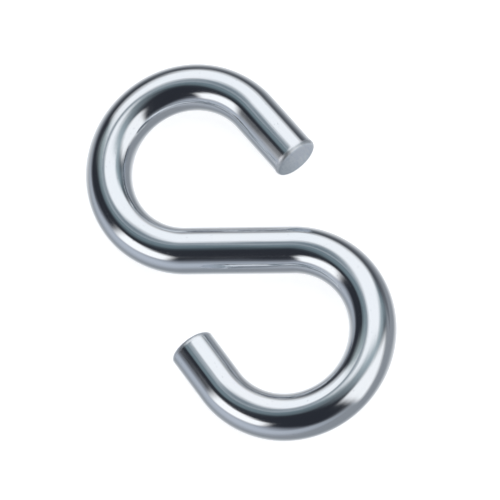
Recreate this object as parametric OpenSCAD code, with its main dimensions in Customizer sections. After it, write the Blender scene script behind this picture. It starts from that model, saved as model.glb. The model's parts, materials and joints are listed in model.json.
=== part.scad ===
// Open S hook, bent cold from one length of round steel wire.
// It lies flat, with the underside of the wire on z = 0. The middle bar runs along X
// with its middle over the origin. The upper eye is on the +Y side of the bar and opens
// towards +X, and the lower eye is on the -Y side and opens towards -X.

/* [Wire] */
// Diameter of the wire
wire_d = 6; // [3:0.5:8]
// Radius of the rounded rim at each cut end
rim_r = 0.4; // [0.1:0.1:1]

/* [Middle bar] */
// Straight length between the two bends
bar_l = 14; // [6:0.5:30]

/* [Eyes] */
// Clear diameter inside each bend
eye_d = 15.5; // [10:0.5:30]
// Angle that the wire turns through round the upper eye
upper_bend = 227; // [180:1:245]
// Angle that the wire turns through round the lower eye
lower_bend = 231; // [180:1:245]

/* [Straight ends] */
// Straight length from the upper bend to the cut face
upper_tail_l = 8.5; // [2:0.5:12]
// Straight length from the lower bend to the cut face
lower_tail_l = 6.5; // [2:0.5:12]

/* [Hidden] */
$fn = 96;
wire_r = wire_d / 2;
// Radius of the wire's centreline round an eye
bend_r = eye_d / 2 + wire_r;
// How many times smaller the pieces are while they are joined
join_scale = 1000;

// Straight wire along X, with its middle at the origin
module bar() {
    rotate([0, 90, 0])
        cylinder(r = wire_r, h = bar_l, center = true);
}

// Wire that turns round the Z axis, anticlockwise from the X axis
module bend(angle) {
    rotate_extrude(angle = angle)
        translate([bend_r, 0])
            circle(r = wire_r);
}

// Straight end along Z, cut square at its top, with a rounded rim
module tail(length) {
    rotate_extrude() {
        square([wire_r, length - rim_r]);
        square([wire_r - rim_r, length]);
        translate([wire_r - rim_r, length - rim_r])
            circle(r = rim_r);
    }
}

// An eye on the -Y side: it leaves the bar's +X end, turns clockwise and ends in its tail
module eye(angle, tail_l) {
    translate([bar_l / 2, -bend_r, 0])
        rotate([0, 0, 90 - angle]) {
            bend(angle);
            translate([bend_r, 0, 0])
                rotate([90, 0, 0])
                    tail(tail_l);
        }
}

// One solid from pieces that meet face to face. They are joined at a small scale, where
// the rounding of a turned piece is too slight to leave a gap between two faces.
module joined() {
    scale(join_scale)
        for (i = [0 : $children - 1])
            scale(1 / join_scale)
                children(i);
}

// The whole hook: the upper eye is the lower one turned half round
module s_hook() {
    color("silver")
        translate([0, 0, wire_r])
            joined() {
                bar();
                eye(lower_bend, lower_tail_l);
                rotate([0, 0, 180])
                    eye(upper_bend, upper_tail_l);
            }
}

s_hook();
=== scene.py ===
"""Open S hook of bright plated round wire, lying on a lit white table."""

import json
import math
import bpy
from mathutils import Matrix, Vector, noise


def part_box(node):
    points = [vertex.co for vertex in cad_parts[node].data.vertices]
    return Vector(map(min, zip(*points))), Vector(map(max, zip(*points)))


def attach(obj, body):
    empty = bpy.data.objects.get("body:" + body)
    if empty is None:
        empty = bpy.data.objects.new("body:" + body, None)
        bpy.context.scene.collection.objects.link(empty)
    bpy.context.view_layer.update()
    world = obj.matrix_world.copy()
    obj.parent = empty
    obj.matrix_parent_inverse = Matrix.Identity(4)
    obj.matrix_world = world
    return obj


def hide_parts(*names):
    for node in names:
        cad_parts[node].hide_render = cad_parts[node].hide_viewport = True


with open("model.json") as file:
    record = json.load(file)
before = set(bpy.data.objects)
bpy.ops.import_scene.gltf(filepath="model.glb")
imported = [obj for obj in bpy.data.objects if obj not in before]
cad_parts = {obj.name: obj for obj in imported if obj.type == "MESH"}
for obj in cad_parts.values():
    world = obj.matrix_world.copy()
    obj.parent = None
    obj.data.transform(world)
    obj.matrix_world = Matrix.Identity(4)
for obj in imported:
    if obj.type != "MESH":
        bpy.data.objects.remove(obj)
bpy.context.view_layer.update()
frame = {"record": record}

# ---------------------------------------------------------------------------------------
# The hook. One length of smooth drawn steel wire, bent cold into an S round two pegs and
# then plated. Its ends are cut square, with a small round on each rim from the tumbling
# before the plating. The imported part's mounts give the size of the eyes and the ends.

MM = 0.001
low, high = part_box("s_hook")
mounts = {m["name"]: m for m in frame["record"]["mounts"]}
wire_r = (high.z - low.z) / 2
bend_r = mounts["upper_seat"]["dims"]["r_mm"] * MM + wire_r
bar_half = high.x - wire_r - bend_r
rim_r = 0.65 * MM
up = Vector((0, 0, 1))

ring_gap = 0.25 * MM
ring_sides = 96
rim_rings = 12
dull_rings = rim_rings // 2
face_rings = 10

# Cold bending and tumbling leave the wire very slightly uneven, so that a band of light
# along it wanders by a hair.
wave_depth = 0.02 * MM
wave_length = 5 * MM


def half_wire(end, turn):
    """Rings from the middle of the bar to one cut end, as (place, direction, radius).

    Turned half round, the upper half lies as the lower half does, so turn is 1 for the
    lower half and -1 for the upper one. Both leave the bar in +X and turn clockwise.
    """
    way = Vector(mounts[end]["axis"]) * turn
    bend_angle = math.atan2(-way.y, way.x) % (2 * math.pi)
    straight = mounts[end]["dims"]["length_mm"] * MM
    rings = []

    count = round(bar_half / ring_gap)
    for i in range(count):
        rings.append((Vector((bar_half * (i + 0.5) / count, 0, 0)), Vector((1, 0, 0)), wire_r))

    count = round(bend_r * bend_angle / ring_gap)
    for i in range(count + 1):
        a = bend_angle * i / count
        place = Vector((bar_half + bend_r * math.sin(a), bend_r * (math.cos(a) - 1), 0))
        rings.append((place, Vector((math.cos(a), -math.sin(a), 0)), wire_r))
    bend_end = rings[-1][0]

    count = round(straight / ring_gap)
    for i in range(1, count + 1):
        rings.append((bend_end + way * (straight * i / count), way, wire_r))

    for i in range(1, rim_rings + 1):
        a = math.pi / 2 * i / rim_rings
        place = bend_end + way * (straight + rim_r * math.sin(a))
        rings.append((place, way, wire_r - rim_r + rim_r * math.cos(a)))

    return [(turn * place, way * turn, radius) for place, way, radius in rings]


upper_half = half_wire("upper_end", -1)
lower_half = half_wire("lower_end", 1)
rings = [(p, -w, r) for p, w, r in reversed(upper_half)] + lower_half

# The wire's length is measured along its centreline, and the surface carries that length
# and the angle round the wire as its UV map, so that a finish can follow the wire.
along = [0.0]
for (here, _, _), (there, _, _) in zip(rings, rings[1:]):
    along.append(along[-1] + (there - here).length)

points = []
for place, way, radius in rings:
    side = up.cross(way)
    for k in range(ring_sides):
        # the seam of the UV map runs along the underside
        a = 2 * math.pi * k / ring_sides - math.pi / 2
        out = side * math.cos(a) + up * math.sin(a)
        where = (place + out * radius) / wave_length
        dip = wave_depth * (noise.noise(where) - 1) / 2
        points.append(place + out * (radius + dip) + up * wire_r)

# A cut face and the inner half of its rounded rim are one finish, mapped in metres sideways
# and up from the face's middle. Each end is kept as its middle and the way it faces.
ends = [(rings[0][0], -rings[0][1]), (rings[-1][0], rings[-1][1])]


def on_cut_face(point, end):
    place, outward = ends[end]
    arm = point - place
    return arm.dot(up.cross(outward)), arm.z - wire_r


faces = []
face_ends = []
side_uvs = []
for i in range(len(rings) - 1):
    if i < dull_rings:
        end = 0
    elif i >= len(rings) - 1 - dull_rings:
        end = 1
    else:
        end = None
    for k in range(ring_sides):
        n = (k + 1) % ring_sides
        a, b = i * ring_sides, (i + 1) * ring_sides
        faces.append((a + k, a + n, b + n, b + k))
        face_ends.append(end)
        u0, u1 = along[i], along[i + 1]
        v0, v1 = k / ring_sides, (k + 1) / ring_sides
        side_uvs.append(((u0, v0), (u0, v1), (u1, v1), (u1, v0)))


def close_end(first, end):
    """The flat cut face inside one rim, as rings that shrink to its middle.

    The two ends face opposite ways along the wire, so end 0 lists its corners backwards.
    """
    middle = ends[end][0] + up * wire_r
    previous = first
    for i in range(1, face_rings):
        start = len(points)
        for k in range(ring_sides):
            points.append(middle + (points[first + k] - middle) * (1 - i / face_rings))
        for k in range(ring_sides):
            n = (k + 1) % ring_sides
            quad = (previous + k, previous + n, start + n, start + k)
            faces.append(quad if end else quad[::-1])
            face_ends.append(end)
        previous = start
    points.append(middle)
    for k in range(ring_sides):
        fan = (previous + k, previous + (k + 1) % ring_sides, len(points) - 1)
        faces.append(fan if end else fan[::-1])
        face_ends.append(end)


close_end(0, 0)
close_end((len(rings) - 1) * ring_sides, 1)

mesh = bpy.data.meshes.new("hook_wire")
mesh.from_pydata(points, [], faces)
uv_map = mesh.uv_layers.new(name="along_and_round")
for polygon, end in zip(mesh.polygons, face_ends):
    polygon.use_smooth = True
    polygon.material_index = 0 if end is None else 1
    for j, loop in enumerate(polygon.loop_indices):
        if end is None:
            uv_map.data[loop].uv = side_uvs[polygon.index][j]
        else:
            uv_map.data[loop].uv = on_cut_face(points[mesh.loops[loop].vertex_index], end)
mesh.validate()
mesh.update()
hook = bpy.data.objects.new("hook_wire", mesh)
bpy.context.scene.collection.objects.link(hook)


def linear(hex_colour):
    """An sRGB hex colour as linear red, green, blue and alpha."""
    parts = [int(hex_colour[i : i + 2], 16) / 255 for i in (1, 3, 5)]
    return [c / 12.92 if c <= 0.04045 else ((c + 0.055) / 1.055) ** 2.4 for c in parts] + [1]


def add(tree, kind, settings=(), links=()):
    """A node with its settings, by attribute or input socket, and what feeds its inputs."""
    made = tree.nodes.new("ShaderNode" + kind)
    for name, value in dict(settings).items():
        if isinstance(name, str) and hasattr(made, name):
            setattr(made, name, value)
        else:
            made.inputs[name].default_value = value
    for name, source in dict(links).items():
        tree.links.new(source, made.inputs[name])
    return made


def new_material(name):
    """A material whose tree holds only its output."""
    material = bpy.data.materials.new(name)
    material.use_nodes = True
    material.node_tree.nodes.clear()
    return material, material.node_tree


# Bright zinc plate on drawn wire: a cool mirror whose tint drifts a little with the plate's
# thickness. The die's marks along the wire make the edge of each reflection waver and fray,
# and the plate's soft orange peel blurs it by a hair. The marks are really some 0.05 mm
# wide, and are drawn 0.4 mm wide, because finer ones would only shimmer. The rounded rims
# are duller, because tumbling in the plating barrel rubs them most.
line_width, line_length = 0.4, 9.0  # mm
peel_size, cloud_size, speck_size = 0.9, 7.0, 0.35  # mm
wear_start, wear_full = 0.85 * MM, 0.5 * MM  # back along the wire from the cut face
zinc, tree = new_material("bright_zinc_plate")
coordinates = add(tree, "TexCoord")
per_mm = (1 / MM, 1 / MM, 1 / MM)
in_mm = add(
    tree,
    "VectorMath",
    {"operation": "MULTIPLY", 1: per_mm},
    {0: coordinates.outputs["Object"]},
).outputs["Vector"]
unrolled = add(tree, "SeparateXYZ", {}, {0: coordinates.outputs["UV"]})
angle = add(
    tree, "Math", {"operation": "MULTIPLY", 1: 2 * math.pi}, {0: unrolled.outputs["Y"]}
).outputs[0]
across = add(tree, "Math", {"operation": "COSINE"}, {0: angle}).outputs[0]
upward = add(tree, "Math", {"operation": "SINE"}, {0: angle}).outputs[0]
on_wire = add(tree, "CombineXYZ", {}, {0: across, 1: upward, 2: unrolled.outputs["X"]})

lines_round, lines_along = wire_r / MM / line_width, 1 / MM / line_length
stretched = add(
    tree,
    "VectorMath",
    {"operation": "MULTIPLY", 1: (lines_round, lines_round, lines_along)},
    {0: on_wire.outputs[0]},
).outputs["Vector"]
draw_lines = add(
    tree, "TexNoise", {"Scale": 1.0, "Detail": 1.0, "Roughness": 0.5}, {"Vector": stretched}
).outputs["Fac"]
orange_peel = add(
    tree,
    "TexNoise",
    {"Scale": 1 / peel_size, "Detail": 1.0, "Roughness": 0.4},
    {"Vector": in_mm},
).outputs["Fac"]
clouds = add(
    tree,
    "TexNoise",
    {"Scale": 1 / cloud_size, "Detail": 3.0, "Roughness": 0.55},
    {"Vector": in_mm},
).outputs["Fac"]
specks = add(
    tree,
    "TexNoise",
    {"Scale": 1 / speck_size, "Detail": 1.0, "Roughness": 0.5},
    {"Vector": in_mm},
).outputs["Fac"]
speck = add(tree, "MapRange", {"From Min": 0.7, "From Max": 0.78}, {"Value": specks})

tint = add(
    tree,
    "Mix",
    {"data_type": "RGBA", 6: linear("#e0e6ec"), 7: linear("#e8e9ec")},
    {0: clouds},
).outputs[2]
tint = add(
    tree, "Mix", {"data_type": "RGBA", 7: linear("#d5d9df")}, {0: speck.outputs[0], 6: tint}
).outputs[2]
polish = add(
    tree,
    "MapRange",
    {"From Min": 0.3, "From Max": 0.7, "To Min": 0.08, "To Max": 0.125},
    {"Value": draw_lines},
).outputs[0]
haze = add(
    tree,
    "MapRange",
    {"From Min": 0.3, "From Max": 0.7, "To Min": -0.01, "To Max": 0.02},
    {"Value": clouds},
).outputs[0]
roughness = add(tree, "Math", {"operation": "ADD"}, {0: polish, 1: haze}).outputs[0]
speck_haze = add(
    tree, "Math", {"operation": "MULTIPLY", 1: 0.06}, {0: speck.outputs[0]}
).outputs[0]
roughness = add(tree, "Math", {"operation": "ADD"}, {0: roughness, 1: speck_haze}).outputs[0]
half_length = along[-1] / 2
from_middle = add(
    tree, "Math", {"operation": "SUBTRACT", 1: half_length}, {0: unrolled.outputs["X"]}
).outputs[0]
from_middle = add(tree, "Math", {"operation": "ABSOLUTE"}, {0: from_middle}).outputs[0]
rim_wear = add(
    tree,
    "MapRange",
    {
        "From Min": half_length - wear_start,
        "From Max": half_length - wear_full,
        "To Max": 0.3,
    },
    {"Value": from_middle},
).outputs[0]
roughness = add(tree, "Math", {"operation": "ADD"}, {0: roughness, 1: rim_wear}).outputs[0]
bumps = add(
    tree, "Bump", {"Strength": 1.0, "Distance": 0.0012 * MM}, {"Height": orange_peel}
).outputs[0]
bumps = add(
    tree,
    "Bump",
    {"Strength": 1.0, "Distance": 0.011 * MM},
    {"Height": draw_lines, "Normal": bumps},
).outputs[0]
shader = add(
    tree,
    "BsdfPrincipled",
    {"Metallic": 1.0},
    {"Base Color": tint, "Roughness": roughness, "Normal": bumps},
)
add(tree, "OutputMaterial", {}, {"Surface": shader.outputs["BSDF"]})
mesh.materials.append(zinc)

# Sheared steel under the same plate: a matte, faintly blue grey. The blade rubbed one side
# of the cut smoother and darker, and tore the rest. It dragged fine lines up the face, and
# the torn grain shows between them as soft mottling.
lines_per_mm, drag_per_mm = 3.2, 0.35
grain_size = 0.45  # mm
all_rubbed, all_torn, edge_waver = -2.4, 0.8, 1.6  # mm across the face
sheared, tree = new_material("sheared_end_plate")
on_face = add(
    tree,
    "VectorMath",
    {"operation": "MULTIPLY", 1: per_mm},
    {0: add(tree, "TexCoord").outputs["UV"]},
).outputs["Vector"]
dragged = add(
    tree,
    "VectorMath",
    {"operation": "MULTIPLY", 1: (lines_per_mm, drag_per_mm, 1)},
    {0: on_face},
).outputs["Vector"]
blade_lines = add(
    tree, "TexNoise", {"Scale": 1.0, "Detail": 2.0, "Roughness": 0.6}, {"Vector": dragged}
).outputs["Fac"]
grain = add(
    tree,
    "TexNoise",
    {"Scale": 1 / grain_size, "Detail": 3.0, "Roughness": 0.65},
    {"Vector": on_face},
).outputs["Fac"]
marks = add(
    tree, "Mix", {"data_type": "FLOAT", 0: 0.45}, {2: blade_lines, 3: grain}
).outputs[0]
marks = add(tree, "MapRange", {"From Min": 0.3, "From Max": 0.7}, {"Value": marks}).outputs[0]
sideways = add(tree, "SeparateXYZ", {}, {0: on_face}).outputs["X"]
wavering = add(
    tree,
    "Math",
    {"operation": "MULTIPLY_ADD", 1: edge_waver, 2: -edge_waver / 2},
    {0: grain},
).outputs[0]
sideways = add(tree, "Math", {"operation": "ADD"}, {0: sideways, 1: wavering}).outputs[0]
torn = add(
    tree,
    "MapRange",
    {"interpolation_type": "SMOOTHSTEP", "From Min": all_rubbed, "From Max": all_torn},
    {"Value": sideways},
).outputs[0]
rubbed_colour = add(
    tree,
    "Mix",
    {"data_type": "RGBA", 6: linear("#c6d0d9"), 7: linear("#dae1e8")},
    {0: marks},
).outputs[2]
torn_colour = add(
    tree,
    "Mix",
    {"data_type": "RGBA", 6: linear("#dfe7f5"), 7: linear("#f6fbff")},
    {0: marks},
).outputs[2]
colour = add(
    tree, "Mix", {"data_type": "RGBA"}, {0: torn, 6: rubbed_colour, 7: torn_colour}
).outputs[2]
roughness = add(
    tree, "MapRange", {"To Min": 0.62, "To Max": 0.48}, {"Value": marks}
).outputs[0]
bumps = add(
    tree, "Bump", {"Strength": 1.0, "Distance": 0.015 * MM}, {"Height": marks}
).outputs[0]
shader = add(
    tree,
    "BsdfPrincipled",
    {"Metallic": 0.35},
    {"Base Color": colour, "Roughness": roughness, "Normal": bumps},
)
add(tree, "OutputMaterial", {}, {"Surface": shader.outputs["BSDF"]})
mesh.materials.append(sheared)

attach(hook, "root")
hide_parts("s_hook")

# ---------------------------------------------------------------------------------------
# The table. A round sheet of opal acrylic that is lit from below and turns up into a wall
# all round, so that it is one pale surface behind the hook from every side. The plate's
# reflections come from the room below, and not from the table.

table_r = 1.6
wall_h = 1.4
turn_r = 0.5
turn_steps = 24
table_sides = 96
profile = [(0.05, 0.0), (0.4, 0.0)]  # radius and height of two rings on the flat part
for i in range(turn_steps + 1):
    a = math.pi / 2 * i / turn_steps
    profile.append((table_r - turn_r + turn_r * math.sin(a), turn_r * (1 - math.cos(a))))
profile.append((table_r, wall_h))
points = [(0, 0, 0)]
for radius, height in profile:
    for k in range(table_sides):
        a = 2 * math.pi * k / table_sides
        points.append((radius * math.cos(a), radius * math.sin(a), height))
faces = [(0, 1 + k, 1 + (k + 1) % table_sides) for k in range(table_sides)]
for i in range(len(profile) - 1):
    for k in range(table_sides):
        a, b = 1 + i * table_sides, 1 + (i + 1) * table_sides
        n = (k + 1) % table_sides
        faces.append((a + k, b + k, b + n, a + n))
table_mesh = bpy.data.meshes.new("table")
table_mesh.from_pydata(points, [], faces)
for polygon in table_mesh.polygons:
    polygon.use_smooth = True
table = bpy.data.objects.new("table", table_mesh)
bpy.context.scene.collection.objects.link(table)
table.visible_glossy = False
table.visible_diffuse = False
table.visible_shadow = False

# The light inside the acrylic is even to within a hundredth, and its satin face has a fine
# tooth that keeps the hook from mirroring in it.
cast_size, tooth_size = 60, 0.6  # mm
opal, tree = new_material("lit_opal_acrylic")
in_mm = add(
    tree,
    "VectorMath",
    {"operation": "MULTIPLY", 1: per_mm},
    {0: add(tree, "TexCoord").outputs["Object"]},
).outputs["Vector"]
cast_clouds = add(
    tree,
    "TexNoise",
    {"Scale": 1 / cast_size, "Detail": 3.0, "Roughness": 0.5},
    {"Vector": in_mm},
).outputs["Fac"]
satin_tooth = add(
    tree,
    "TexNoise",
    {"Scale": 1 / tooth_size, "Detail": 1.0, "Roughness": 0.5},
    {"Vector": in_mm},
).outputs["Fac"]
sheet_colour = add(
    tree,
    "Mix",
    {"data_type": "RGBA", 6: linear("#f2f3f4"), 7: linear("#f6f6f6")},
    {0: cast_clouds},
).outputs[2]
glow_strength = add(
    tree,
    "MapRange",
    {"From Min": 0.2, "From Max": 0.8, "To Min": 0.715, "To Max": 0.73},
    {"Value": cast_clouds},
).outputs[0]
satin = add(
    tree, "MapRange", {"To Min": 0.55, "To Max": 0.65}, {"Value": satin_tooth}
).outputs[0]
tooth = add(
    tree, "Bump", {"Strength": 1.0, "Distance": 0.004 * MM}, {"Height": satin_tooth}
).outputs[0]
shader = add(
    tree,
    "BsdfPrincipled",
    {"Specular IOR Level": 0.0, "Emission Color": linear("#ffffff")},
    {
        "Base Color": sheet_colour,
        "Roughness": satin,
        "Normal": tooth,
        "Emission Strength": glow_strength,
    },
)
add(tree, "OutputMaterial", {}, {"Surface": shader.outputs["BSDF"]})
table_mesh.materials.append(opal)

# ---------------------------------------------------------------------------------------
# The studio. A dim room with a large soft box over the back of the table, a smaller one low
# on each side in front, and a grey green scrim round the large one. Places in it are given
# as degrees clockwise from +Y, and degrees above the table.

world = bpy.data.worlds.new("studio")
bpy.context.scene.world = world
world.use_nodes = True
tree = world.node_tree
tree.nodes.clear()
direction = add(tree, "TexCoord").outputs["Generated"]


def toward(azimuth, height):
    """The direction of a place in the room."""
    a, e = math.radians(azimuth), math.radians(height)
    return Vector((math.sin(a) * math.cos(e), math.cos(a) * math.cos(e), math.sin(e)))


def along_axis(axis):
    """How far the direction that is seen points along an axis."""
    settings = {"operation": "DOT_PRODUCT", 1: axis}
    return add(tree, "VectorMath", settings, {0: direction}).outputs["Value"]


def fade(value, start, end):
    """0 before start and 1 after end, with a smooth change between them."""
    settings = {"interpolation_type": "SMOOTHSTEP", "From Min": start, "From Max": end}
    return add(tree, "MapRange", settings, {"Value": value}).outputs["Result"]


def product(a, b):
    """Two shares taken together."""
    return add(tree, "Math", {"operation": "MULTIPLY"}, {0: a, 1: b}).outputs[0]


def cover(behind, share, light):
    """The room with a light in front of it, where share is 1."""
    settings = {"data_type": "RGBA", 7: light}
    return add(tree, "Mix", settings, {0: share, 6: behind}).outputs[2]


def soft_box(behind, corners, softness, light):
    """A light with straight edges. Its softness is in degrees, one for each edge."""
    ways = [toward(*c) for c in corners]
    middle = sum(ways, Vector())
    share = None
    for i, soft in enumerate(softness):
        edge = ways[i].cross(ways[(i + 1) % len(ways)]).normalized()
        if edge.dot(middle) < 0:
            edge = -edge
        reach = math.sin(math.radians(soft))
        inside = fade(along_axis(edge), -reach, reach)
        share = inside if share is None else product(share, inside)
    return cover(behind, share, light)


def glow(behind, azimuth, height, roll, half_width, half_height, soft, light):
    """A soft oval patch of light, or of shade, on the walls, ceiling or table."""
    facing = toward(azimuth, height)
    right = toward(azimuth + 90, 0)
    above = right.cross(facing)
    turn = Matrix.Rotation(math.radians(roll), 3, facing)
    ahead = along_axis(facing)
    reach = []
    for axis, half in ((turn @ right, half_width), (turn @ above, half_height)):
        angle = add(
            tree, "Math", {"operation": "ARCTAN2"}, {0: along_axis(axis), 1: ahead}
        ).outputs[0]
        size = {"operation": "DIVIDE", 1: math.radians(half)}
        reach.append(add(tree, "Math", size, {0: angle}).outputs[0])
    flat = add(tree, "CombineXYZ", {}, {0: reach[0], 1: reach[1]}).outputs[0]
    length = add(tree, "VectorMath", {"operation": "LENGTH"}, {0: flat}).outputs["Value"]
    return cover(behind, fade(length, 1 + soft, 1 - soft), light)


def lamp(hex_colour, strength=1.0):
    """A light's colour, brighter than white where strength is over 1."""
    return [c * strength for c in linear(hex_colour)[:3]] + [1]


# the table and floor below the horizon, and the dark ceiling above it
table_grey = lamp("#94999f")
ceiling = lamp("#2e3138")
horizon = fade(along_axis(up), -0.02, math.sin(math.radians(20)))
settings = {"data_type": "RGBA", 6: table_grey, 7: ceiling}
room = add(tree, "Mix", settings, {0: horizon}).outputs[2]
# the brightest part of the table, and the pale wall at the front left
room = glow(room, -38, -66, 50, 45, 37, 0.8, lamp("#fdfeff", 1.08))
room = glow(room, -135, 1, -2, 57, 20, 0.95, lamp("#c1c8d3"))
# the scrim, the large box's light on its left and right, and the dark gap under it
room = soft_box(
    room, [(-35, 9), (-107, 64), (97, 86.5), (67, 5)], [7, 14, 18, 11], lamp("#7a8b92")
)
room = glow(room, -43, 52.5, 38, 10, 22, 0.68, lamp("#b5c2c3"))
room = glow(room, 59, 56, 3, 33.5, 33.5, 0.48, lamp("#a6b4ba"))
room = glow(room, -9, 15, 12, 76, 28, 0.85, lamp("#30333a"))
# the large box, with a small flag of grey cloth in front of it
room = soft_box(
    room,
    [(-12, 4), (-53, 32), (-21.5, 88), (80, 48.5), (38, 11)],
    [13, 2, 8, 8.5, 13],
    lamp("#fbfdff", 1.12),
)
room = glow(room, -28.4, 65.3, 35, 13.2, 5.7, 0.9, lamp("#72818a"))
# the left box and the right box
room = soft_box(
    room, [(-152, 20), (-154, 41), (-105, 49), (-113, 16)], [4.5, 5, 5, 6], lamp("#ffffff", 1.22)
)
room = soft_box(
    room, [(78, 12), (120, 57), (144, 53), (132, -13)], [8, 5, 5, 9], lamp("#fdfeff", 1.12)
)
studio = add(tree, "Background", {}, {"Color": room})
add(tree, "OutputWorld", {}, {"Surface": studio.outputs["Background"]})

# ---------------------------------------------------------------------------------------
# The camera. A long lens that looks down on the hook from the lower right.

middle = up * wire_r
camera_gap = 632.7 * MM
seen_width = 62.76 * MM
tilt_x, tilt_y, turn_z = (math.radians(x) for x in (-15.0, -15.0, 0.619))
facing = (
    Matrix.Rotation(tilt_y, 3, "Y")
    @ Matrix.Rotation(tilt_x, 3, "X")
    @ Matrix.Rotation(turn_z, 3, "Z")
)
to_row = facing.transposed()
aim_right = 1.316 * MM
aim_up = 0.056 * MM
camera = bpy.data.cameras.new("camera")
camera.sensor_width = 36.0
camera.lens = camera.sensor_width * camera_gap / seen_width
camera.clip_start = 0.05
camera.clip_end = 20.0
eye = bpy.data.objects.new("camera", camera)
bpy.context.scene.collection.objects.link(eye)
place = middle + to_row @ Vector((aim_right, aim_up, camera_gap))
eye.matrix_world = Matrix.Translation(place) @ to_row.to_4x4()
bpy.context.scene.camera = eye
bpy.context.scene.view_settings.view_transform = "Standard"
